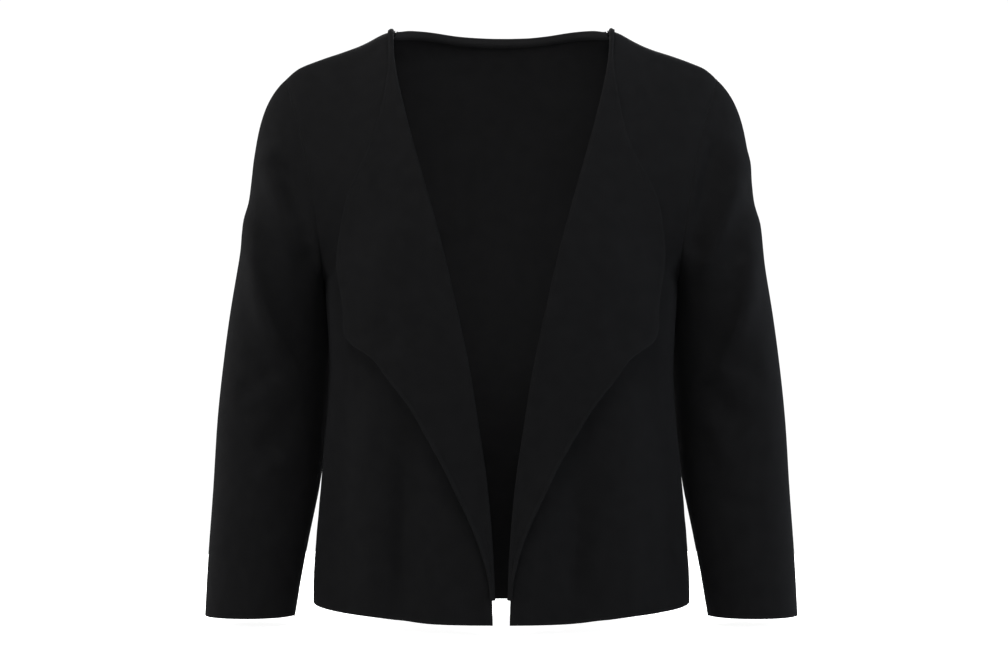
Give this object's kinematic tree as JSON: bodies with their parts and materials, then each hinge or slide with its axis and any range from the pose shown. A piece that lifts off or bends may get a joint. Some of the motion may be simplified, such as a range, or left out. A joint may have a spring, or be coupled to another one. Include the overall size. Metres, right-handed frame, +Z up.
{
  "type": "open-front knit cardigan",
  "caption": "Cropped open-front knit cardigan with fold-back lapels and bracelet sleeves, shown filled out with no wearer",
  "frame": {"origin": "midway between the two neck points at the tops of the shoulder seams, where the wearer's shoulders carry it", "axes": "+Z up, -Y towards the front opening, +X towards the wearer's left"},
  "size_m": [0.5544, 0.2263, 0.552],
  "materials": {
    "knit": "soft black double-faced fine knit, matt with a faint nap"
  },
  "bodies": {
    "root": {"back": "knit", "front_left": "knit", "front_right": "knit", "sleeve_left": "knit", "sleeve_right": "knit", "neck_band": "knit"}
  },
  "joints": []
}
